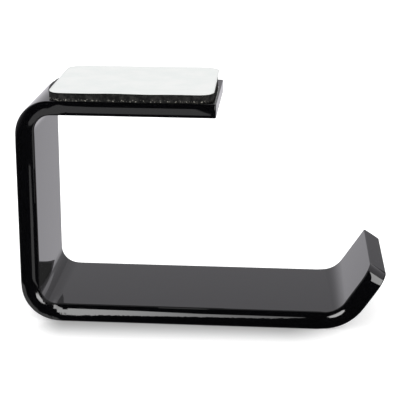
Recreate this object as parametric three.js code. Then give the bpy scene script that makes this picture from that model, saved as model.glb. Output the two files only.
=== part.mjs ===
// Headphone hook for the underside of a desk: a bent acrylic strip with a double-sided foam pad on its top arm.
// Millimetres, +Z up. The origin is on the desk side of the release liner, above the middle of the foam pad.
// +X points from the back plate towards the open side and the lip, and +Y runs across the strip.
import * as THREE from 'three';

// ---- Driving dimensions, mm ----
const STRIP_WIDTH = 32;
const SHEET_THICKNESS = 5;            // back plate, lower arm and lip
const TOP_ARM_THICKNESS = 3.6;        // the top arm is thinner than the rest of the strip
const BRACKET_HEIGHT = 58.85;         // underside of the lower arm to the top of the top arm
const TOP_ARM_REACH = 50.6;           // outer face of the back plate to the end of the top arm
const LIP_START = 82.35;              // outer face of the back plate to where the lip rises from the lower arm
const LIP_LENGTH = 14.7;              // along the lip's inner face, from that line to its end
const LIP_ANGLE = 57;                 // degrees above the lower arm

const UPPER_BEND = { outer: 8.7, inner: 4.1 };
const LOWER_BEND = { outer: 9.6, inner: 4.6 };
const LIP_BEND = { outer: 12.5, inner: 6.5 };

const EDGE_ROUNDING = 0.4;            // polished edges all round the strip
const END_CORNER = 0.5;               // corners of the strip's ends, seen flat on
const LIP_NEAR_CORNER = 4.5;          // the lip's corner on the -Y side is rounder

const PAD_LENGTH = 41.4;
const PAD_WIDTH = 31.6;
const PAD_CORNER = 4;
const PAD_START = 7.8;                // outer face of the back plate to the pad
const ADHESIVE_THICKNESS = 0.15;
const FOAM_THICKNESS = 1.85;

const LINER_THICKNESS = 0.15;
const LINER_LENGTH = 41.4;
const LINER_WIDTH = 36;               // wider than the pad: the spare width is the tab it peels by
const LINER_CORNER = 4;
const LINER_START = 8.3;             // outer face of the back plate to the liner
const LINER_FRONT_OVERHANG = 0.2;     // past the pad on the -Y side

const EDGE_STEPS = 3;                 // facets across one rounded edge
const CORNER_STEPS = 8;               // facets round one corner
const BEND_STEP_ANGLE = 5;            // degrees of bend per facet
const SAME_POINT = 1e-4;              // points closer together than this are one point

const DEGREE = Math.PI / 180;

// ---- Where the parts sit in the frame ----
const PAD_HEIGHT = ADHESIVE_THICKNESS * 2 + FOAM_THICKNESS + LINER_THICKNESS;
const BACK_FACE_X = -(PAD_START + PAD_LENGTH / 2);     // outer face of the back plate
const FLOOR_Z = -(BRACKET_HEIGHT + PAD_HEIGHT);        // underside of the lower arm
const PAD_BOTTOM_Z = -PAD_HEIGHT;

// ---- The bracket ----

/** Rounds the inner corners of a polyline in the XZ plane and returns its points, from its first to its last. */
function roundedPath(corners, radii) {
  const path = [corners[0].clone()];
  radii.forEach((radius, index) => {
    const corner = corners[index + 1];
    const back = corners[index].clone().sub(corner).normalize();
    const ahead = corners[index + 2].clone().sub(corner).normalize();
    const halfAngle = Math.acos(back.dot(ahead)) / 2;
    const turn = Math.PI - 2 * halfAngle;
    const towardsCentre = back.clone().add(ahead).normalize();
    const centre = corner.clone().addScaledVector(towardsCentre, radius / Math.sin(halfAngle));
    const start = corner.clone().addScaledVector(back, radius / Math.tan(halfAngle)).sub(centre);
    const direction = Math.sign(back.cross(start));
    const steps = Math.round(turn / (BEND_STEP_ANGLE * DEGREE));
    for (let step = 0; step <= steps; step += 1) {
      const angle = direction * turn * step / steps;
      path.push(start.clone().rotateAround(new THREE.Vector2(0, 0), angle).add(centre));
    }
  });
  path.push(corners[corners.length - 1].clone());
  return path;
}

/** The strip's two faces as matching lists of points, from the top arm's end to the lip's end. */
function stripFaces() {
  const topZ = FLOOR_Z + BRACKET_HEIGHT;
  const armEndX = BACK_FACE_X + TOP_ARM_REACH;
  const innerTopZ = topZ - TOP_ARM_THICKNESS;
  const innerBackX = BACK_FACE_X + SHEET_THICKNESS;
  const innerFloorZ = FLOOR_Z + SHEET_THICKNESS;
  const lipAngle = LIP_ANGLE * DEGREE;
  const alongLip = new THREE.Vector2(Math.cos(lipAngle), Math.sin(lipAngle));
  const outOfLip = new THREE.Vector2(Math.sin(lipAngle), -Math.cos(lipAngle));

  const innerLipCorner = new THREE.Vector2(BACK_FACE_X + LIP_START, innerFloorZ);
  const innerLipEnd = innerLipCorner.clone().addScaledVector(alongLip, LIP_LENGTH);
  const outerLipEnd = innerLipEnd.clone().addScaledVector(outOfLip, SHEET_THICKNESS);
  const outerLipCorner = outerLipEnd.clone()
    .addScaledVector(alongLip, -(outerLipEnd.y - FLOOR_Z) / alongLip.y);

  const outerCorners = [
    new THREE.Vector2(armEndX, topZ),
    new THREE.Vector2(BACK_FACE_X, topZ),
    new THREE.Vector2(BACK_FACE_X, FLOOR_Z),
    outerLipCorner,
    outerLipEnd,
  ];
  const innerCorners = [
    new THREE.Vector2(armEndX, innerTopZ),
    new THREE.Vector2(innerBackX, innerTopZ),
    new THREE.Vector2(innerBackX, innerFloorZ),
    innerLipCorner,
    innerLipEnd,
  ];
  const bends = [UPPER_BEND, LOWER_BEND, LIP_BEND];
  return {
    outer: roundedPath(outerCorners, bends.map((bend) => bend.outer)),
    inner: roundedPath(innerCorners, bends.map((bend) => bend.inner)),
  };
}

/** Distances from one end of the strip at which its outline needs a section. */
function endDistances(cornerRadius) {
  const distances = [];
  for (let step = 0; step <= EDGE_STEPS; step += 1) {
    distances.push(EDGE_ROUNDING * (1 - Math.cos(90 * DEGREE * step / EDGE_STEPS)));
  }
  for (let step = 1; step <= CORNER_STEPS; step += 1) {
    const distance = cornerRadius * (1 - Math.cos(90 * DEGREE * step / CORNER_STEPS));
    if (distance > EDGE_ROUNDING) {
      distances.push(distance);
    }
  }
  return distances;
}

/** Half the strip's width at a distance from its end, for the outline set in by `inset` from the widest one. */
function halfWidth(fromEnd, cornerRadius, inset) {
  const reach = Math.max(0, cornerRadius - fromEnd);
  const radius = cornerRadius - inset;
  return STRIP_WIDTH / 2 - cornerRadius + Math.sqrt(Math.max(0, radius * radius - reach * reach));
}

/** One closed section across the strip. */
function stripSection(outerPoint, innerPoint, fromEnd, nearCorner, farCorner) {
  const middle = outerPoint.clone().add(innerPoint).multiplyScalar(0.5);
  const across = outerPoint.clone().sub(innerPoint).normalize();
  const halfThickness = outerPoint.distanceTo(innerPoint) / 2;
  const fullAngle = Math.acos(Math.max(0, 1 - fromEnd / EDGE_ROUNDING));
  const ring = [];
  const addPoint = (angle, faceSign, sideSign) => {
    const height = faceSign * (halfThickness - EDGE_ROUNDING * (1 - Math.sin(angle)));
    const corner = sideSign < 0 ? nearCorner : farCorner;
    const width = sideSign * halfWidth(fromEnd, corner, EDGE_ROUNDING * (1 - Math.cos(angle)));
    ring.push(new THREE.Vector3(middle.x + across.x * height, width, middle.y + across.y * height));
  };
  const angles = Array.from({ length: EDGE_STEPS + 1 }, (_, step) => fullAngle * step / EDGE_STEPS);
  const reversed = [...angles].reverse();
  reversed.forEach((angle) => addPoint(angle, 1, -1));
  angles.forEach((angle) => addPoint(angle, -1, -1));
  reversed.forEach((angle) => addPoint(angle, -1, 1));
  angles.forEach((angle) => addPoint(angle, 1, 1));
  return ring;
}

/** All the sections of the strip, from the top arm's end to the lip's end. */
function stripSections() {
  const { outer, inner } = stripFaces();
  const last = outer.length - 1;
  const sections = [];
  endDistances(END_CORNER).forEach((distance) => {
    const along = new THREE.Vector2(-distance, 0);
    const outerPoint = outer[0].clone().add(along);
    const innerPoint = inner[0].clone().add(along);
    sections.push(stripSection(outerPoint, innerPoint, distance, END_CORNER, END_CORNER));
  });
  for (let index = 1; index < last; index += 1) {
    sections.push(stripSection(outer[index], inner[index], Infinity, LIP_NEAR_CORNER, END_CORNER));
  }
  const downLip = inner[last - 1].clone().sub(inner[last]).normalize();
  endDistances(LIP_NEAR_CORNER).reverse().forEach((distance) => {
    const outerPoint = outer[last].clone().addScaledVector(downLip, distance);
    const innerPoint = inner[last].clone().addScaledVector(downLip, distance);
    sections.push(stripSection(outerPoint, innerPoint, distance, LIP_NEAR_CORNER, END_CORNER));
  });
  return sections;
}

/** A closed surface through rings of points, with a flat cap on the first and the last ring. */
function skinSections(sections) {
  const positions = [];
  const triangle = (a, b, c) => {
    if ([a.distanceTo(b), b.distanceTo(c), c.distanceTo(a)].every((side) => side > SAME_POINT)) {
      positions.push(a.x, a.y, a.z, b.x, b.y, b.z, c.x, c.y, c.z);
    }
  };
  const count = sections[0].length;
  for (let row = 0; row + 1 < sections.length; row += 1) {
    for (let index = 0; index < count; index += 1) {
      const next = (index + 1) % count;
      const [a, b] = [sections[row][index], sections[row][next]];
      const [c, d] = [sections[row + 1][next], sections[row + 1][index]];
      triangle(a, c, b);
      triangle(a, d, c);
    }
  }
  const first = sections[0];
  const final = sections[sections.length - 1];
  for (let index = 1; index + 1 < count; index += 1) {
    triangle(first[0], first[index], first[index + 1]);
    triangle(final[0], final[index + 1], final[index]);
  }
  const geometry = new THREE.BufferGeometry();
  geometry.setAttribute('position', new THREE.Float32BufferAttribute(positions, 3));
  geometry.computeVertexNormals();
  return geometry;
}

function hookBracket() {
  return new THREE.Mesh(skinSections(stripSections()));
}

// ---- The pad and its liner ----

/** A flat sheet with rounded corners: its lower face at z, its -X side at x and its -Y side at y. */
function roundedSheet(x, y, z, length, width, thickness, corner) {
  const outline = new THREE.Shape();
  outline.moveTo(x + corner, y);
  outline.absarc(x + length - corner, y + corner, corner, -90 * DEGREE, 0);
  outline.absarc(x + length - corner, y + width - corner, corner, 0, 90 * DEGREE);
  outline.absarc(x + corner, y + width - corner, corner, 90 * DEGREE, 180 * DEGREE);
  outline.absarc(x + corner, y + corner, corner, 180 * DEGREE, 270 * DEGREE);
  const options = { depth: thickness, bevelEnabled: false, curveSegments: CORNER_STEPS };
  const geometry = new THREE.ExtrudeGeometry(outline, options);
  geometry.translate(0, 0, z);
  return new THREE.Mesh(geometry);
}

/** One layer of the pad, at a height above the top arm. */
function padLayer(height, thickness) {
  const x = BACK_FACE_X + PAD_START;
  return roundedSheet(x, -PAD_WIDTH / 2, PAD_BOTTOM_Z + height, PAD_LENGTH, PAD_WIDTH, thickness, PAD_CORNER);
}

function lowerAdhesive() {
  return padLayer(0, ADHESIVE_THICKNESS);
}

function foamCore() {
  return padLayer(ADHESIVE_THICKNESS, FOAM_THICKNESS);
}

function upperAdhesive() {
  return padLayer(ADHESIVE_THICKNESS + FOAM_THICKNESS, ADHESIVE_THICKNESS);
}

function releaseLiner() {
  const x = BACK_FACE_X + LINER_START;
  const y = -PAD_WIDTH / 2 - LINER_FRONT_OVERHANG;
  return roundedSheet(x, y, -LINER_THICKNESS, LINER_LENGTH, LINER_WIDTH, LINER_THICKNESS, LINER_CORNER);
}

// ---- The hook ----
const hook = new THREE.Group();
hook.name = 'headphone_hook';
const makers = {
  hook_bracket: hookBracket,
  lower_adhesive: lowerAdhesive,
  foam_core: foamCore,
  upper_adhesive: upperAdhesive,
  release_liner: releaseLiner,
};
Object.entries(makers).forEach(([name, make]) => {
  const mesh = make();
  mesh.name = name;
  hook.add(mesh);
});

export default hook;
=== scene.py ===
import math
from collections import namedtuple

import bmesh
import bpy
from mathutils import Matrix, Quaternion, Vector, noise


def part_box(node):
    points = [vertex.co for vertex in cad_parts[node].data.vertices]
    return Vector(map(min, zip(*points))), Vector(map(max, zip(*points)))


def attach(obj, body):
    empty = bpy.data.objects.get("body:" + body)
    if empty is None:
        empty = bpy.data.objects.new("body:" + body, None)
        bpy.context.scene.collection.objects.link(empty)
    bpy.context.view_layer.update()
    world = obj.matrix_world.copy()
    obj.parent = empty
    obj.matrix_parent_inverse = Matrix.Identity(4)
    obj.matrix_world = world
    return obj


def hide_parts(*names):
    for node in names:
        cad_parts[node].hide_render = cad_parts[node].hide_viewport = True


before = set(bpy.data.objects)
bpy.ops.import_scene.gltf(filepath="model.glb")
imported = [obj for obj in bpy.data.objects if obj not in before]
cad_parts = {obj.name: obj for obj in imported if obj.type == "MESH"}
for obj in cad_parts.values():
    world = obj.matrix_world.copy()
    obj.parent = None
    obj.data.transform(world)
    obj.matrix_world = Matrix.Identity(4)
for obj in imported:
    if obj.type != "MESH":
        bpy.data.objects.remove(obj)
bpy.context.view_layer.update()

MM = 0.001

# ---- Where things are, from the frame ----
BRACKET_LOW, BRACKET_HIGH = (Vector(c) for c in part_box("hook_bracket"))
FOAM_LOW, FOAM_HIGH = (Vector(c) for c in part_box("foam_core"))
LINER_LOW, LINER_HIGH = (Vector(c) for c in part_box("release_liner"))
BACK_X = BRACKET_LOW.x
FLOOR_Z = BRACKET_LOW.z
ARM_TOP_Z = BRACKET_HIGH.z
HALF_WIDTH = BRACKET_HIGH.y

# ---- Driving dimensions of the strip, the same as the CAD's ----
SHEET = 5 * MM
TOP_ARM = 3.6 * MM
TOP_ARM_REACH = 50.6 * MM
LIP_START = 82.35 * MM
LIP_LENGTH = 14.7 * MM
LIP_ANGLE = math.radians(57)
BENDS = [(8.7 * MM, 4.1 * MM), (9.6 * MM, 4.6 * MM), (12.5 * MM, 6.5 * MM)]   # outer and inner radius

# ---- The cut edge ----
EDGE_ROUND = 0.3 * MM
EDGE_CROWN = 0.18 * MM        # how far the middle of the edge stands out
BACK_CROWN = 0.06 * MM        # the same on the back plate, whose edge is flatter
BEND_SLANT = 0.28 * MM        # at a bend the inner side bulges out and the outer side draws in by this much
CROWNS = [EDGE_CROWN, BACK_CROWN, EDGE_CROWN, EDGE_CROWN]   # top arm, back, lower arm, lip
BLENDS_IN = [3.5 * MM, 1.2 * MM, 1.2 * MM]      # length over which the edge changes going into each bend
BLENDS_OUT = [3.5 * MM, 1.2 * MM, 2.0 * MM]     # and coming out of it
END_CORNER = 0.5 * MM
LIP_NEAR_CORNER = 4.5 * MM
STEP_ALONG = 0.7 * MM
BEND_STEP = math.radians(3)
EDGE_STEPS = 9                # points from the middle of the cut edge to its rounding
ROUND_STEPS = 5
CORNER_STEPS = 12
FACE_INSETS = [0.05 * MM, 1.5 * MM]   # extra points on the flat faces beside the rounding
LEAST_ROUNDING = 0.2          # at the strip's very end the edge keeps this share of its rounding
PAST_ROUNDING = 1.1           # a corner's stations start this many roundings from the end
CAP_SCALE = 0.985             # the ring just inside each flat end face
TINY = 1e-9

# ---- Camera ----
CAMERA_AZIMUTH = math.radians(4.164)
CAMERA_ELEVATION = math.radians(17.007)
CAMERA_ROLL = math.radians(0.227)
CAMERA_DISTANCE = 321.1 * MM
CAMERA_AIM = Vector((17.06, 0, -31.8)) * MM
CAMERA_LENS = 108.67          # mm, on the sensor width below
CAMERA_SENSOR = 36
CAMERA_CLIP = (0.01, 20)


def make_camera():
    data = bpy.data.cameras.new("camera")
    data.sensor_width = CAMERA_SENSOR
    data.lens = CAMERA_LENS
    data.clip_start, data.clip_end = CAMERA_CLIP
    camera = bpy.data.objects.new("camera", data)
    bpy.context.scene.collection.objects.link(camera)
    back = Vector((
        math.sin(CAMERA_AZIMUTH) * math.cos(CAMERA_ELEVATION),
        -math.cos(CAMERA_AZIMUTH) * math.cos(CAMERA_ELEVATION),
        math.sin(CAMERA_ELEVATION),
    ))
    camera.location = CAMERA_AIM + back * CAMERA_DISTANCE
    level = (-back).to_track_quat("-Z", "Y")
    camera.rotation_mode = "QUATERNION"
    camera.rotation_quaternion = level @ Quaternion((0, 0, 1), CAMERA_ROLL)
    bpy.context.scene.camera = camera


make_camera()


# ---- Mesh helpers ----
def new_object(name, verts, faces, body="hook"):
    mesh = bpy.data.meshes.new(name)
    mesh.from_pydata([tuple(v) for v in verts], [], faces)
    mesh.validate()
    for polygon in mesh.polygons:
        polygon.use_smooth = True
    obj = bpy.data.objects.new(name, mesh)
    bpy.context.scene.collection.objects.link(obj)
    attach(obj, body)
    return obj


# ---- The bent strip ----
Arc = namedtuple("Arc", "centre spoke turn")
Face = namedtuple("Face", "corners arcs")

# A place along the strip: its points on the outer and inner face, the shape of the cut edge there, the length
# over which that shape changes, and the distances from both ends.
Station = namedtuple("Station", "outer inner crown slant blend from_arm from_lip", defaults=(0.0, 0.0))


def face_corners(thin, thick):
    """The corners of one face of the strip, from the pad end to the lip.

    The face lies this deep in the strip: thin at the top arm, and thick in the rest.
    """
    along = Vector((math.cos(LIP_ANGLE), math.sin(LIP_ANGLE)))
    out = Vector((along.y, -along.x))
    lip_corner = Vector((BACK_X + LIP_START, FLOOR_Z + SHEET))
    lip_end = lip_corner + along * LIP_LENGTH + out * (SHEET - thick)
    floor_z = FLOOR_Z + thick
    return [
        Vector((BACK_X + TOP_ARM_REACH, ARM_TOP_Z - thin)),
        Vector((BACK_X + thick, ARM_TOP_Z - thin)),
        Vector((BACK_X + thick, floor_z)),
        lip_end - along * ((lip_end.y - floor_z) / along.y),
        lip_end,
    ]


def fillet(before, corner, after, radius):
    """The arc that rounds a corner; its spoke goes to its first point, and its turn is signed."""
    back = (before - corner).normalized()
    ahead = (after - corner).normalized()
    half = math.acos(back.dot(ahead)) / 2
    centre = corner + (back + ahead).normalized() * (radius / math.sin(half))
    spoke = corner + back * (radius / math.tan(half)) - centre
    turn = math.pi - 2 * half
    return Arc(centre, spoke, math.copysign(turn, back.x * spoke.y - back.y * spoke.x))


def turned(point, angle):
    cos, sin = math.cos(angle), math.sin(angle)
    return Vector((point.x * cos - point.y * sin, point.x * sin + point.y * cos))


def on_arc(arc, share):
    return arc.centre + turned(arc.spoke, arc.turn * share)


def strip_faces():
    """The outer and the inner face."""
    faces = []
    for which, (thin, thick) in enumerate(((0, 0), (TOP_ARM, SHEET))):
        corners = face_corners(thin, thick)
        arcs = [fillet(*corners[k:k + 3], BENDS[k][which]) for k in range(len(BENDS))]
        faces.append(Face(corners, arcs))
    return faces


def straight_stations(starts, stops, run, last=False):
    count = round((stops[0] - starts[0]).length / STEP_ALONG)
    stations = []
    for step in range(count + last):
        share = step / count
        leaving = last or (run > 0 and share < 0.5)
        blend = BLENDS_OUT[run - 1] if leaving else BLENDS_IN[run]
        outer, inner = (start.lerp(stop, share) for start, stop in zip(starts, stops))
        stations.append(Station(outer, inner, CROWNS[run], 0.0, blend))
    return stations


def bend_stations(faces, bend):
    count = round(abs(faces[0].arcs[bend].turn) / BEND_STEP)
    stations = []
    for step in range(count):
        blend = (BLENDS_IN if step < count / 2 else BLENDS_OUT)[bend]
        outer, inner = (on_arc(face.arcs[bend], step / count) for face in faces)
        stations.append(Station(outer, inner, EDGE_CROWN, BEND_SLANT, blend))
    return stations


def strip_stations():
    """Stations along the whole strip, before their distances are known and their edges are smoothed."""
    faces = strip_faces()
    stations = []
    starts = [face.corners[0] for face in faces]
    for bend in range(len(BENDS)):
        stops = [on_arc(face.arcs[bend], 0) for face in faces]
        stations += straight_stations(starts, stops, bend)
        stations += bend_stations(faces, bend)
        starts = [on_arc(face.arcs[bend], 1) for face in faces]
    stops = [face.corners[-1] for face in faces]
    return stations + straight_stations(starts, stops, len(BENDS), last=True)


def end_steps(corner):
    """Distances from an end of the strip at which its rounded edges and corners need a station."""
    quarter = math.pi / 2
    rounding = [EDGE_ROUND * (1 - math.cos(quarter * k / ROUND_STEPS)) for k in range(ROUND_STEPS + 1)]
    turning = [corner * (1 - math.cos(quarter * k / CORNER_STEPS)) for k in range(1, CORNER_STEPS + 1)]
    return rounding + [distance for distance in turning if distance > EDGE_ROUND * PAST_ROUNDING]


def station_at(stations, travelled, distance):
    """The station at a distance from the pad end, between the two that were travelled to around it."""
    after = next(k for k, reached in enumerate(travelled) if reached >= distance - TINY and k > 0)
    a, b = stations[after - 1], stations[after]
    share = (distance - travelled[after - 1]) / (travelled[after] - travelled[after - 1])
    return Station(
        a.outer.lerp(b.outer, share),
        a.inner.lerp(b.inner, share),
        a.crown + (b.crown - a.crown) * share,
        a.slant + (b.slant - a.slant) * share,
        a.blend,
        distance,
        travelled[-1] - distance,
    )


def refined(stations):
    """The stations with their distances from both ends, and finer ones near the ends."""
    travelled = [0.0]
    for a, b in zip(stations, stations[1:]):
        travelled.append(travelled[-1] + ((b.outer + b.inner - a.outer - a.inner) / 2).length)
    length = travelled[-1]
    first = end_steps(END_CORNER)
    last = [length - distance for distance in reversed(end_steps(LIP_NEAR_CORNER))]
    low, high = first[-1] + STEP_ALONG / 2, last[0] - STEP_ALONG / 2
    middle = [distance for distance in travelled if low < distance < high]
    return [station_at(stations, travelled, distance) for distance in first + middle + last]


def softened(stations):
    """The stations with the edge's crown and slant changing smoothly from run to run."""
    result = []
    for station in stations:
        crown = slant = total = 0.0
        for other in stations:
            weight = max(0.0, 1 - abs(other.from_arm - station.from_arm) / station.blend)
            crown += weight * other.crown
            slant += weight * other.slant
            total += weight
        result.append(station._replace(crown=crown / total, slant=slant / total))
    return result


def circle_drop(reach, radius):
    """How far a quarter circle falls away over a reach."""
    return radius - math.sqrt(max(0.0, radius ** 2 - max(0.0, reach) ** 2))


def edge_points(station, half, flat, side, corner):
    """One cut edge from its inner to its outer side, as (height, y) pairs."""
    rounding = half - flat
    from_end = min(station.from_arm, station.from_lip)
    width = HALF_WIDTH - circle_drop(corner - from_end, corner)
    over = [flat + rounding * math.sin(math.pi / 2 * k / ROUND_STEPS) for k in range(1, ROUND_STEPS + 1)]
    across = [flat * k / EDGE_STEPS for k in range(-EDGE_STEPS, EDGE_STEPS + 1)]
    heights = [-h for h in reversed(over)] + across + over
    points = []
    for height in heights:
        share = height / half
        drop = station.crown * share * share + station.slant * share
        drop += circle_drop(abs(height) - flat, rounding)
        points.append((height, side * (width - drop)))
    return points


def strip_section(station):
    """One closed ring across the strip."""
    centre = (station.outer + station.inner) / 2
    across = (station.outer - station.inner).normalized()
    half = (station.outer - station.inner).length / 2
    flat = half - EDGE_ROUND
    half -= circle_drop(EDGE_ROUND - min(station.from_arm, station.from_lip), EDGE_ROUND)
    flat = min(flat, half - EDGE_ROUND * LEAST_ROUNDING)
    near_corner = LIP_NEAR_CORNER if station.from_lip < station.from_arm else END_CORNER
    near = edge_points(station, half, flat, -1, near_corner)
    far = edge_points(station, half, flat, 1, END_CORNER)[::-1]
    loop = []
    for here, there in ((near, far), (far, near)):
        loop += here
        height, y = here[-1]
        for inset in FACE_INSETS:
            loop.append((height, y - math.copysign(inset, y)))
        loop.append((height, 0.0))
        for inset in reversed(FACE_INSETS):
            loop.append((height, there[0][1] - math.copysign(inset, there[0][1])))
    return [Vector((centre.x + across.x * height, y, centre.y + across.y * height)) for height, y in loop]


def skin(rings):
    """Quads between each ring and the next."""
    verts = [point for ring in rings for point in ring]
    count = len(rings[0])
    faces = []
    for row in range(len(rings) - 1):
        for k in range(count):
            a, b = row * count + k, row * count + (k + 1) % count
            faces.append((a, b, b + count, a + count))
    return verts, faces


def cap(verts, faces, ring_start, count, flip):
    """Closes the strip's end with a slightly smaller ring and one flat face."""
    ring = verts[ring_start:ring_start + count]
    centre = sum(ring, Vector()) / count
    base = len(verts)
    verts.extend(centre + (point - centre) * CAP_SCALE for point in ring)
    for k in range(count):
        following = (k + 1) % count
        quad = (ring_start + k, ring_start + following, base + following, base + k)
        faces.append(quad if flip else quad[::-1])
    inner = tuple(range(base, base + count))
    faces.append(inner if flip else inner[::-1])


def make_bracket():
    stations = softened(refined(strip_stations()))
    rings = [strip_section(station) for station in stations]
    verts, faces = skin(rings)
    count = len(rings[0])
    cap(verts, faces, 0, count, False)
    cap(verts, faces, (len(rings) - 1) * count, count, True)
    piece = new_object("bracket_polished", verts, faces)
    shape = bmesh.new()
    shape.from_mesh(piece.data)
    bmesh.ops.recalc_face_normals(shape, faces=shape.faces)
    shape.to_mesh(piece.data)
    shape.free()
    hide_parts("hook_bracket")
    return piece


# ---- The foam pad, its adhesive films and the release liner ----
PAD_TURN = math.radians(0.7)       # the pad is stuck on slightly turned
PAD_SHIFT = 0.4 * MM
PAD_CORNER = 4 * MM
SQUEEZE_OUT = 1.0 * MM             # how far the pad bulges out past the liner on the back plate's side
SQUEEZE_PLACE = -4 * MM            # the middle of that bulge, across the strip
SQUEEZE_REACH = 9 * MM
OUTLINE_STEP = 0.22 * MM
FOAM_LAYERS = 9
CELL_SIZE = 0.45 * MM              # the foam's open cells
CELL_DEPTH = 0.16 * MM
CELL_OPENING = 0.6                 # the share of a cell's size that is open
SIDE_WAVE = 0.18 * MM              # slow wander of the knife along the foam's cut side
WAVE_LENGTH = 6 * MM
FACE_INSET = 1.2 * MM              # the foam's flat faces have a ring this far inside their rim
FILM_WAVE = 0.12 * MM              # how unevenly the adhesive films end
FILM_WAVE_LENGTH = 1.3 * MM
FILM_ROUND = 0.06 * MM
FILM_INSET = 1.0 * MM
LINER_CORNER = 4 * MM
LINER_LIFT = 0.18 * MM             # how far the liner's free edges rise
LINER_LIFT_FROM = 0.8              # where the rise begins, as a share of the way to the rim
LINER_RIPPLE = 9 * MM
LINER_TURN = math.radians(0.8)
LINER_STEP = 0.6 * MM
LINER_RIM_STEP = 0.5 * MM          # the first three rings are this far apart, and the rest at these shares
LINER_RINGS = [0.94, 0.88, 0.8, 0.7, 0.55, 0.4, 0.25, 0.1]


def rounded_outline(length, width, corner, step):
    """Points around a rounded rectangle about the origin, each with its outward direction."""
    points = []
    for quarter in range(4):
        start = math.radians(90 * quarter)
        corner_x = (length / 2 - corner) * (1 if quarter in (0, 3) else -1)
        corner_y = (width / 2 - corner) * (1 if quarter in (0, 1) else -1)
        count = round(corner * math.pi / 2 / step)
        for k in range(count):
            angle = start + math.pi / 2 * k / count
            out = Vector((math.cos(angle), math.sin(angle)))
            points.append((Vector((corner_x, corner_y)) + out * corner, out))
        run = (width if quarter % 2 else length) - 2 * corner
        out = Vector((math.cos(start + math.pi / 2), math.sin(start + math.pi / 2)))
        along = Vector((-out.y, out.x))
        first = Vector((corner_x, corner_y)) + out * corner
        count = round(run / step)
        for k in range(count):
            points.append((first + along * (run * k / count), out))
    return points


PAD_OUTLINE = rounded_outline(FOAM_HIGH.x - FOAM_LOW.x, FOAM_HIGH.y - FOAM_LOW.y, PAD_CORNER, OUTLINE_STEP)


def close_rings(rings):
    """A closed body from rings stacked from the bottom to the top."""
    count = len(rings[0])
    verts, faces = skin(rings)
    for start, flip in ((0, True), ((len(rings) - 1) * count, False)):
        face = tuple(range(start, start + count))
        faces.append(face[::-1] if flip else face)
    return verts, faces


def pad_ring(z, inset, depth_at):
    """One level ring of the pad or a film, set in from its outline and roughened by depth_at."""
    ring = []
    for point, out in PAD_OUTLINE:
        place = turned(point - out * inset, PAD_TURN) + Vector((PAD_SHIFT, 0))
        place -= turned(out, PAD_TURN) * depth_at(place, z)
        place.x -= squeeze_out(place, z)
        ring.append(Vector((place.x, place.y, z)))
    return ring


def squeeze_out(place, z):
    """How far the pad's upper rim is squeezed out towards the back plate at a point."""
    if place.x > FOAM_LOW.x + PAD_CORNER:
        return 0.0
    along = max(0.0, 1 - ((place.y - SQUEEZE_PLACE) / SQUEEZE_REACH) ** 2)
    up = max(0.0, min(1.0, (z - FOAM_LOW.z) / (FOAM_HIGH.z - FOAM_LOW.z)))
    return SQUEEZE_OUT * along * up * up


def foam_depth(place, z):
    """How far the cut side of the foam is pulled in at a point, by its cells and the knife's wander."""
    spot = Vector((place.x, place.y, z))
    cell = noise.voronoi(spot / CELL_SIZE)[0]
    pit = max(0.0, CELL_OPENING - cell[0]) / CELL_OPENING
    wander = noise.noise(Vector((place.x, place.y, z / 2)) / WAVE_LENGTH)
    return CELL_DEPTH * pit + SIDE_WAVE * (0.5 + wander) / 2


def film_depth(place, z):
    """How far the rim of an adhesive film is pulled in at a point."""
    return FILM_WAVE * (1 + noise.noise(Vector((place.x, place.y, 0)) / FILM_WAVE_LENGTH))


def make_foam():
    layer = (FOAM_HIGH.z - FOAM_LOW.z) / (FOAM_LAYERS - 1)
    heights = [FOAM_LOW.z + layer * k for k in range(FOAM_LAYERS)]
    rings = [pad_ring(heights[0], FACE_INSET, foam_depth)]
    rings += [pad_ring(z, 0.0, foam_depth) for z in heights]
    rings += [pad_ring(heights[-1], FACE_INSET, foam_depth)]
    piece = new_object("foam_pad", *close_rings(rings))
    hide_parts("foam_core")
    return piece


def make_film(name, cad):
    low, high = (Vector(c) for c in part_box(cad))
    heights = (low.z, low.z, (low.z + high.z) / 2, high.z, high.z)
    insets = (FILM_INSET, FILM_ROUND, 0.0, FILM_ROUND, FILM_INSET)
    rings = [pad_ring(z, inset, film_depth) for z, inset in zip(heights, insets)]
    piece = new_object(name, *close_rings(rings))
    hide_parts(cad)
    return piece


def liner_height(x, y, length, width):
    """How far the liner stands off the foam at a point: nearly flat, with its rim lifting a little."""
    rim = max(abs(x) / (length / 2), abs(y) / (width / 2))
    lift = max(0.0, rim - LINER_LIFT_FROM) / (1 - LINER_LIFT_FROM)
    ripple = (1 + noise.noise(Vector((x, y, 0)) / LINER_RIPPLE)) / 2
    return LINER_LIFT * lift * lift * ripple


def make_liner():
    length, width = LINER_HIGH.x - LINER_LOW.x, LINER_HIGH.y - LINER_LOW.y
    middle = (LINER_LOW + LINER_HIGH) / 2
    outline = rounded_outline(length, width, LINER_CORNER, LINER_STEP)
    scales = [1 - LINER_RIM_STEP * k / (width / 2) for k in range(3)] + LINER_RINGS

    def ring_at(z, scale):
        ring = []
        for point, out in outline:
            flat = point * scale
            place = turned(flat, LINER_TURN)
            height = liner_height(flat.x, flat.y, length, width)
            ring.append(Vector((middle.x + place.x, middle.y + place.y, z + height)))
        return ring

    under = [ring_at(LINER_LOW.z, scale) for scale in reversed(scales)]
    over = [ring_at(LINER_HIGH.z, scale) for scale in scales]
    piece = new_object("liner_sheet", *close_rings(under + over), body="liner")
    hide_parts("release_liner")
    return piece


# ---- Shader nodes ----
X, Y, Z = range(3)
MIX_LOW, MIX_HIGH, MIX_RESULT = 6, 7, 2       # the colour sockets of Blender's Mix node


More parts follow.
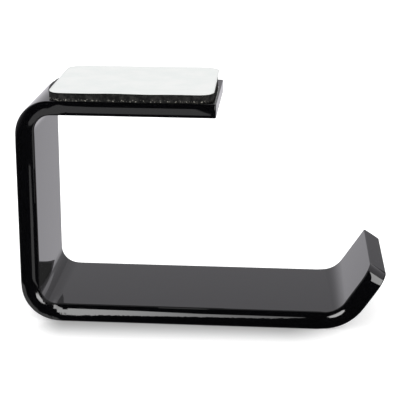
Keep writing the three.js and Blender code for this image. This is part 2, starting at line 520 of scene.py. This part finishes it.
class Graph:
    """Adds nodes to a material's or the world's tree, and returns the output of each."""

    def __init__(self, tree):
        self.nodes = tree.nodes
        self.link = tree.links.new

    def ramp(self, source, low, high, start=0.0, end=1.0):
        """A smooth change from start to end as the source goes from low to high."""
        made = self.nodes.new("ShaderNodeMapRange")
        made.interpolation_type = "SMOOTHSTEP"
        for socket, value in (("From Min", low), ("From Max", high), ("To Min", start), ("To Max", end)):
            made.inputs[socket].default_value = value
        self.link(source, made.inputs[0])
        return made.outputs[0]

    def combine(self, operation, a, b):
        made = self.nodes.new("ShaderNodeMath")
        made.operation = operation
        for index, value in enumerate((a, b)):
            if isinstance(value, (int, float)):
                made.inputs[index].default_value = value
            else:
                self.link(value, made.inputs[index])
        return made.outputs[0]

    def product(self, first, *others):
        for other in others:
            first = self.combine("MULTIPLY", first, other)
        return first

    def component(self, vector, axis):
        split = self.nodes.new("ShaderNodeSeparateXYZ")
        self.link(vector, split.inputs[0])
        return split.outputs[axis]

    def surface(self, output):
        return self.nodes.new("ShaderNodeNewGeometry").outputs[output]

    def object_place(self, stretch=(1, 1, 1)):
        """The point on the object in metres, scaled by the stretch."""
        mapping = self.nodes.new("ShaderNodeMapping")
        mapping.inputs["Scale"].default_value = stretch
        self.link(self.nodes.new("ShaderNodeTexCoord").outputs["Object"], mapping.inputs["Vector"])
        return mapping.outputs[0]

    def noise_at(self, place, size, detail=2.0, roughness=0.5):
        made = self.nodes.new("ShaderNodeTexNoise")
        made.inputs["Scale"].default_value = 1 / size
        made.inputs["Detail"].default_value = detail
        made.inputs["Roughness"].default_value = roughness
        self.link(place, made.inputs["Vector"])
        return made.outputs[0]

    def cells_at(self, place, size):
        """The distance to the middle of the nearest cell."""
        made = self.nodes.new("ShaderNodeTexVoronoi")
        made.inputs["Scale"].default_value = 1 / size
        self.link(place, made.inputs["Vector"])
        return made.outputs["Distance"]

    def colour_between(self, factor, low, high):
        """A mix of two colours; low may also be another node's output."""
        made = self.nodes.new("ShaderNodeMix")
        made.data_type = "RGBA"
        if isinstance(low, tuple):
            made.inputs[MIX_LOW].default_value = (*low, 1)
        else:
            self.link(low, made.inputs[MIX_LOW])
        made.inputs[MIX_HIGH].default_value = (*high, 1)
        self.link(factor, made.inputs[0])
        return made.outputs[MIX_RESULT]

    def add_bump(self, shader, height, distance, strength=1.0):
        made = self.nodes.new("ShaderNodeBump")
        made.inputs["Distance"].default_value = distance
        made.inputs["Strength"].default_value = strength
        self.link(height, made.inputs["Height"])
        self.link(made.outputs[0], shader.inputs["Normal"])


def material(name):
    mat = bpy.data.materials.new(name)
    mat.use_nodes = True
    return mat, Graph(mat.node_tree), mat.node_tree.nodes["Principled BSDF"]


# ---- Black acrylic ----
ACRYLIC_IOR = 1.49
ACRYLIC_BLACK = (0.0018, 0.0018, 0.0022)
DUST_GREY = (0.006, 0.006, 0.0065)
DUST_SIZE = 0.35 * MM
DUST_RANGE = (0.66, 0.72)         # the part of the noise that counts as dust
HAZE_SIZE = 9 * MM
HAZE_RANGE = (0.35, 0.7)
HAZE_ROUGHNESS = (0.018, 0.06)
EDGE_FACING = (0.6, 0.9)          # how squarely a face looks sideways, if it belongs to the cut edge
SAWN_HEIGHT = (0.45, 0.62)        # the saw marks fade out over this part of the lower arm's thickness
SAW_MARK_SIZE = 0.6 * MM
SAW_MARK_STRETCH = (1, 0.02, 0.6)
SAW_MARK_DEPTH = 0.16             # both depths are shares of the relief
SWELL_DEPTH = 0.02
SWELL_SIZE = 14 * MM
ACRYLIC_RELIEF = 0.1 * MM


def acrylic():
    """Glossy black acrylic with faint handling haze, and fine saw marks low on its cut edges."""
    mat, graph, shader = material("black_acrylic")
    shader.inputs["IOR"].default_value = ACRYLIC_IOR
    place = graph.object_place()
    dust = graph.ramp(graph.noise_at(place, DUST_SIZE), *DUST_RANGE)
    graph.link(graph.colour_between(dust, ACRYLIC_BLACK, DUST_GREY), shader.inputs["Base Color"])
    haze = graph.noise_at(place, HAZE_SIZE, detail=4.0)
    graph.link(graph.ramp(haze, *HAZE_RANGE, *HAZE_ROUGHNESS), shader.inputs["Roughness"])
    sideways = graph.combine("ABSOLUTE", graph.component(graph.surface("Normal"), Y), 0.0)
    edge = graph.ramp(sideways, *EDGE_FACING)
    sawn_low, sawn_high = (FLOOR_Z + SHEET * share for share in SAWN_HEIGHT)
    sawn = graph.ramp(graph.component(place, Z), sawn_low, sawn_high, 1.0, 0.0)
    marks = graph.noise_at(graph.object_place(SAW_MARK_STRETCH), SAW_MARK_SIZE, detail=1.0)
    marks = graph.product(marks, edge, sawn, SAW_MARK_DEPTH)
    swell = graph.product(graph.noise_at(place, SWELL_SIZE, detail=1.0), SWELL_DEPTH)
    graph.add_bump(shader, graph.combine("ADD", marks, swell), ACRYLIC_RELIEF)
    return mat


# ---- Black foam ----
FOAM_ROUGHNESS = 0.95
FOAM_SPECULAR = 0.25
FOAM_DARK = (0.004, 0.004, 0.004)
FOAM_LIGHT = (0.022, 0.021, 0.020)
MOTTLE_SIZE = 1.1 * MM
MOTTLE_RANGE = (0.35, 0.7)
# Painted highlight: pale flecks in the foam's colour stand in for the glints of clear adhesive squeezed out
# at its lower edge.
ADHESIVE_GLINT_COLOUR = (0.32, 0.31, 0.27)
ADHESIVE_GLINT_SIZE = 0.42 * MM
ADHESIVE_GLINT_RANGE = (0.58, 0.66)
ADHESIVE_GLINT_HEIGHT = (0.15 * MM, 0.75 * MM)     # the painted glint flecks fade out between these heights in the pad
FOAM_RELIEF = 0.15 * MM
FOAM_RELIEF_STRENGTH = 0.8
GRAIN = 0.6                       # the roughness of the noises of foam and paper


def foam():
    """Cut closed-cell foam: mottled charcoal, with pale flecks along its lower edge that are painted glints
    of squeezed-out clear adhesive.
    """
    mat, graph, shader = material("black_foam")
    shader.inputs["Roughness"].default_value = FOAM_ROUGHNESS
    shader.inputs["Specular IOR Level"].default_value = FOAM_SPECULAR
    place = graph.object_place()
    mottle = graph.ramp(graph.noise_at(place, MOTTLE_SIZE, 3.0, GRAIN), *MOTTLE_RANGE)
    dark = graph.colour_between(mottle, FOAM_DARK, FOAM_LIGHT)
    # painted glints: pale flecks low on the foam's side, where the squeezed-out clear adhesive would sparkle
    painted_glint = graph.ramp(graph.noise_at(place, ADHESIVE_GLINT_SIZE, 2.0, GRAIN), *ADHESIVE_GLINT_RANGE)
    low, high = (FOAM_LOW.z + height for height in ADHESIVE_GLINT_HEIGHT)
    painted_glint = graph.product(painted_glint, graph.ramp(graph.component(place, Z), low, high, 1.0, 0.0))
    graph.link(graph.colour_between(painted_glint, dark, ADHESIVE_GLINT_COLOUR), shader.inputs["Base Color"])
    graph.add_bump(shader, graph.cells_at(place, CELL_SIZE), FOAM_RELIEF, FOAM_RELIEF_STRENGTH)
    return mat


# ---- Release paper ----
PAPER_DARK = (0.78, 0.81, 0.79)
PAPER_LIGHT = (0.83, 0.845, 0.825)
PAPER_COAT = 0.25
PAPER_COAT_ROUGHNESS = 0.3
PAPER_ROUGHNESS = (0.42, 0.58)
CLOUD_SIZE = 7 * MM
FIBRE_SIZE = 0.5 * MM
FIBRE_STRETCH = (1, 4, 1)
PAPER_RANGE = (0.3, 0.7)
PAPER_RELIEF = 0.02 * MM
PAPER_RELIEF_STRENGTH = 0.5


def paper():
    """Silicone-coated release paper, off-white with a soft sheen and faint fibres."""
    mat, graph, shader = material("liner_paper")
    shader.inputs["Coat Weight"].default_value = PAPER_COAT
    shader.inputs["Coat Roughness"].default_value = PAPER_COAT_ROUGHNESS
    cloud = graph.noise_at(graph.object_place(), CLOUD_SIZE, detail=3.0)
    tone = graph.ramp(cloud, *PAPER_RANGE)
    graph.link(graph.colour_between(tone, PAPER_DARK, PAPER_LIGHT), shader.inputs["Base Color"])
    fibre = graph.noise_at(graph.object_place(FIBRE_STRETCH), FIBRE_SIZE, 3.0, GRAIN)
    graph.link(graph.ramp(fibre, *PAPER_RANGE, *PAPER_ROUGHNESS), shader.inputs["Roughness"])
    graph.add_bump(shader, fibre, PAPER_RELIEF, PAPER_RELIEF_STRENGTH)
    return mat


# ---- Adhesive film ----
FILM_DARK = (0.006, 0.006, 0.006)
FILM_LIGHT = (0.02, 0.02, 0.018)
FILM_SPECULAR = 0.2
FILM_ROUGHNESS = (0.45, 0.7)
LUMP_SIZE = 0.8 * MM
LUMP_COLOUR_RANGE = (0.4, 0.7)
LUMP_ROUGHNESS_RANGE = (0.3, 0.7)
FILM_RELIEF = 0.05 * MM


def film():
    """Black pressure-sensitive adhesive, satin and slightly lumpy."""
    mat, graph, shader = material("adhesive_film")
    shader.inputs["Specular IOR Level"].default_value = FILM_SPECULAR
    lumps = graph.noise_at(graph.object_place(), LUMP_SIZE, detail=3.0)
    tone = graph.ramp(lumps, *LUMP_COLOUR_RANGE)
    graph.link(graph.colour_between(tone, FILM_DARK, FILM_LIGHT), shader.inputs["Base Color"])
    graph.link(graph.ramp(lumps, *LUMP_ROUGHNESS_RANGE, *FILM_ROUGHNESS), shader.inputs["Roughness"])
    graph.add_bump(shader, lumps, FILM_RELIEF)
    return mat


# ---- The pieces ----
def paint(pieces, mat):
    for piece in pieces:
        piece.data.materials.clear()
        piece.data.materials.append(mat)


paint([make_bracket()], acrylic())
paint([make_foam()], foam())
films = [make_film("film_under_foam", "lower_adhesive"), make_film("film_over_foam", "upper_adhesive")]
paint(films, film())
paint([make_liner()], paper())


# ---- Studio: the world and the floor ----
DIFFUSE_LIGHT = 1.12              # even light from all round
BACKDROP_TINT = (0.992, 0.974, 1.028)
BACKDROP_HIGH = 1.05              # what the gloss sees behind the hook, above the floor's level
BACKDROP_LOW = 0.77               # and below it
HORIZON = (-0.05, 0.05)           # these four are ranges of a component of the ray's direction
FRONT_FADE = (-0.45, -0.15)       # in reflections it is dark at the front,
OVERHEAD = (0.97, 0.99)           # apart from straight above
LEFT_FADE = (-0.75, -0.5)         # and far to the left
FLOOR_REACH = 3.0
FLOOR_COLOUR = (0.95, 0.95, 0.95)
FLOOR_GLOW = 0.45
FLOOR_GLOSS_ROUGHNESS = 0.03
FLOOR_GLOSS = 0.75                # at its strongest, just in front of the hook
GLOSS_RISE = (-2 * MM, -0.5 * MM)         # both from the plane of the near cut edge, towards the front
GLOSS_FALL = (-1 * MM, 18 * MM)
GLOSS_LEFT = 12 * MM              # the gloss fades in over this length from the back plate
GLOSS_RIGHT = (26 * MM, 4 * MM)   # and out over this one before the lip's end
GRAZING = (0.5, 0.65)             # it shows only at grazing angles, as the facing of a layer weight


def make_world():
    """Even white light; reflections see a tinted backdrop instead, which is dark at the front."""
    world = bpy.data.worlds.new("studio")
    bpy.context.scene.world = world
    world.use_nodes = True
    graph = Graph(world.node_tree)
    background = graph.nodes["Background"]
    direction = graph.nodes.new("ShaderNodeTexCoord").outputs["Generated"]
    glossy_ray = graph.nodes.new("ShaderNodeLightPath").outputs["Is Glossy Ray"]
    lit = graph.ramp(graph.component(direction, Y), *FRONT_FADE)
    lit = graph.combine("MAXIMUM", lit, graph.ramp(graph.component(direction, Z), *OVERHEAD))
    lit = graph.combine("MAXIMUM", lit, graph.ramp(graph.component(direction, X), *LEFT_FADE, 1.0, 0.0))
    backdrop = graph.ramp(graph.component(direction, Z), *HORIZON, BACKDROP_LOW, BACKDROP_HIGH)
    extra = graph.combine("SUBTRACT", graph.product(lit, backdrop), DIFFUSE_LIGHT)
    strength = graph.combine("ADD", graph.product(extra, glossy_ray), DIFFUSE_LIGHT)
    tint = graph.colour_between(glossy_ray, (1, 1, 1), BACKDROP_TINT)
    graph.link(tint, background.inputs[0])
    graph.link(strength, background.inputs[1])


def floor_material():
    """White and matt, with a gloss that mirrors only the lower arm's near edge."""
    mat, graph, shader = material("floor")
    shader.inputs["Base Color"].default_value = (*FLOOR_COLOUR, 1)
    shader.inputs["Roughness"].default_value = 1.0
    shader.inputs["Specular IOR Level"].default_value = 0.0
    shader.inputs["Emission Color"].default_value = (1, 1, 1, 1)
    shader.inputs["Emission Strength"].default_value = FLOOR_GLOW
    gloss = graph.nodes.new("ShaderNodeBsdfAnisotropic")
    gloss.inputs["Roughness"].default_value = FLOOR_GLOSS_ROUGHNESS
    place = graph.surface("Position")
    forward = graph.product(graph.component(place, Y), -1.0)
    rise_start, rise_end = (HALF_WIDTH + distance for distance in GLOSS_RISE)
    fall_start, fall_end = (HALF_WIDTH + distance for distance in GLOSS_FALL)
    right_start, right_end = (BRACKET_HIGH.x - distance for distance in GLOSS_RIGHT)
    across = graph.component(place, X)
    facing = graph.nodes.new("ShaderNodeLayerWeight").outputs["Facing"]
    share = graph.product(
        graph.ramp(forward, rise_start, rise_end, 0.0, FLOOR_GLOSS),
        graph.ramp(forward, fall_start, fall_end, 1.0, 0.0),
        graph.ramp(across, BACK_X, BACK_X + GLOSS_LEFT),
        graph.ramp(across, right_start, right_end, 1.0, 0.0),
        graph.ramp(facing, *GRAZING),
    )
    mix = graph.nodes.new("ShaderNodeMixShader")
    graph.link(share, mix.inputs[0])
    graph.link(shader.outputs[0], mix.inputs[1])
    graph.link(gloss.outputs[0], mix.inputs[2])
    graph.link(mix.outputs[0], graph.nodes["Material Output"].inputs[0])
    return mat


def stage_object(name, corners, mat):
    """One flat face that belongs to the studio and not to the hook."""
    mesh = bpy.data.meshes.new(name)
    mesh.from_pydata(corners, [], [tuple(range(len(corners)))])
    mesh.materials.append(mat)
    obj = bpy.data.objects.new(name, mesh)
    bpy.context.scene.collection.objects.link(obj)
    return obj


def rectangle(left, low, right, high):
    return [(left, low), (right, low), (right, high), (left, high)]


make_world()
floor_corners = [(x, y, FLOOR_Z) for x, y in rectangle(-FLOOR_REACH, -FLOOR_REACH, FLOOR_REACH, FLOOR_REACH)]
stage_object("floor", floor_corners, floor_material()).visible_glossy = False


# ---- Studio: cards that only reflections see, with their outlines in mm ----
BACKDROP_Y = 500                  # the cards behind the hook
SIDE_Y = 505                      # and the one that the back plate mirrors, just behind them
SIDE_X = 330                      # the card beside the lip
OVER_PAD_Z = 30                   # the card above the pad
CARD_Y = -150                     # the lights in front of the hook
FLAG_Y = -60                      # and the dark flags
NEAR_EDGE_Y = -HALF_WIDTH / MM    # the plane of the near cut edge
INNER_X = (BACK_X + SHEET) / MM   # the inner face of the back plate
INNER_Z = (FLOOR_Z + SHEET) / MM  # and of the lower arm
LIP_X = (BACK_X + LIP_START) / MM
CURTAIN_GAP = 0.7                 # how far the closest cards stand in front of the near cut edge
SEAM_GAP = 0.65
BEFORE_LIP_GAP = 0.6
CORNER_GAP = 0.25                 # and how far the last one stands off the back plate


def card_material(name, corners, radiance, low_radiance, axis, tint):
    mat, graph, shader = material(name)
    emission = graph.nodes.new("ShaderNodeEmission")
    emission.inputs["Color"].default_value = (*tint, 1)
    emission.inputs["Strength"].default_value = radiance
    if low_radiance is not None:
        low = min(corner[axis] for corner in corners)
        high = max(corner[axis] for corner in corners)
        place = graph.component(graph.surface("Position"), axis)
        graph.link(graph.ramp(place, low, high, low_radiance, radiance), emission.inputs["Strength"])
    graph.link(emission.outputs[0], graph.nodes["Material Output"].inputs[0])
    return mat


def make_card(name, outline, radiance, low_radiance=None, axis=Z, tint=(1, 1, 1)):
    """A light or a flag; with two values it fades along the axis, and the low end has the second one."""
    corners = [tuple(c * MM for c in corner) for corner in outline]
    card = stage_object(name, corners, card_material(name, corners, radiance, low_radiance, axis, tint))
    card.visible_camera = False
    card.visible_diffuse = False
    card.visible_shadow = False
    card.visible_transmission = False


def make_back_card(name, outline, radiance, low_radiance=None, y=BACKDROP_Y):
    make_card(name, [(x, y, z) for x, z in outline], radiance, low_radiance, tint=BACKDROP_TINT)


def make_front_card(name, outline, radiance, left_radiance=None, y=CARD_Y):
    make_card(name, [(x, y, z) for x, z in outline], radiance, left_radiance, axis=X)


def make_side_card(name, outline, radiance, x):
    make_card(name, [(x, y, z) for y, z in outline], radiance)


# Behind, beside and above the hook: what the lower arm, the bends, the lip and the back plate mirror.
make_back_card("flag_low", [
    (-260, 120), (120, 120), (120, 153), (100, 153), (100, 178), (-125, 178), (-125, 153), (-260, 153)], 0.54)
make_back_card("flag_bend", rectangle(-240, -40, 120, 120), 0.50, 0.80)
make_back_card("card_lip_face", rectangle(-240, -160, -60, -40), 0.80, 0.86)
make_back_card("flag_side", rectangle(122, -150, 330, 200), 0.40, y=SIDE_Y)
make_back_card("card_crease", [(188, -95), (213, -95), (213, 6), (198, 6), (194, -50)], 0.75)
make_back_card("flag_end", rectangle(218, -26, 264, 4), 0.30)
make_side_card("flag_lip_corner", rectangle(-40, -60, SIDE_Y, 130), 0.12, SIDE_X)
make_card("flag_rim", [(x, y, OVER_PAD_Z) for x, y in rectangle(-45, -40, 45, -13)], 0.0)

# In front: the long stripes along the cut edge, the glints beside its bends and the dark between them.
make_front_card("card_top", [
    (-74, -36), (-77, -30), (-73, -19), (-66, -4), (-58, 5), (-50, 1), (-40, -12), (-32, -17), (7, -17),
    (13, -70), (-42, -70), (-43, -44), (-52, -40), (-60, -42), (-68, -40)], 0.9)
make_front_card("card_side", [(-50.5, -56), (-47.8, -56), (-45.5, -102), (-52, -102)], 1.0)
make_front_card("card_low", [
    (-43, -92), (-46, -122), (-51, -131), (-44, -129), (-32, -123), (-20, -120), (-6, -116), (9, -110),
    (28, -107), (46, -102.5), (48.5, -101), (48, -99.5), (28, -99), (9, -99), (-14, -94)], 2.8, 7.8)
make_front_card("card_glint", [
    (-57, -108), (-62, -111.5), (-68, -113), (-72, -121), (-66, -126), (-59, -123), (-55, -113)], 10.0)
make_front_card("card_leaf", [
    (59, -128), (63, -121), (67, -117), (72, -121), (75, -128), (74, -134), (68, -138), (62, -136)], 10.0)
make_front_card("card_outer", [
    (-200, -112), (-122, -116), (-120, -140), (-110, -165), (-92, -185), (-72, -193), (-72, -260),
    (-200, -260)], 1.0)
make_card("card_lip", [(203, -46, 18), (151, -60, 66), (113, -134, -13), (163, -109, -36)], 7.0)
make_front_card("flag_corner", [
    (-32, -71), (-24.5, -71), (-24.5, -67), (3, -67), (3, -50), (-32, -50)], 0.0, y=FLAG_Y)
make_front_card("flag_arm", rectangle(-27, -50, 30, -32), 0.0, y=FLAG_Y)

# Close to the hook: a curtain keeps the front lights out of the inner faces, and a black seam covers the gap
# between it and the lip. A black card keeps stray glints off the edge before the lip's bend, and a dim one
# makes the dark corner at the back plate's foot.
curtain_left, curtain_low, curtain_high = INNER_X + 0.5, INNER_Z + 0.05, -9
curtain_right = [(51, curtain_low), (54, -54.9), (56.2, -52.7), (61.6, -44.2), (61.6, -40)]
curtain = [(curtain_left, curtain_low), *curtain_right, (52, curtain_high), (curtain_left, curtain_high)]
seam_right = [(62.2, -40), (62.2, -44.6), (56.8, -53.1), (54.3, -55.4), (51, INNER_Z - 0.25)]
make_front_card("curtain", curtain, 0.5, y=NEAR_EDGE_Y - CURTAIN_GAP)
make_front_card("curtain_seam", curtain_right + seam_right, 0.0, y=NEAR_EDGE_Y - SEAM_GAP)
before_lip = rectangle(LIP_X - 5.95, FLOOR_Z / MM + 0.15, LIP_X - 3.05, INNER_Z - 0.35)
make_front_card("flag_before_lip", before_lip, 0.0, y=NEAR_EDGE_Y - BEFORE_LIP_GAP)
make_side_card("flag_dark_corner", [
    (-14.7, -45.5), (-11.3, -46.6), (-7.3, -48.1), (-1.8, -50.1), (3.0, -51.7), (-0.8, -52.6), (-4.8, -52.7),
    (-10.8, -52.5), (-14.7, -52.2)], 0.05, INNER_X + CORNER_GAP)
bpy.context.scene.view_settings.view_transform = "Standard"
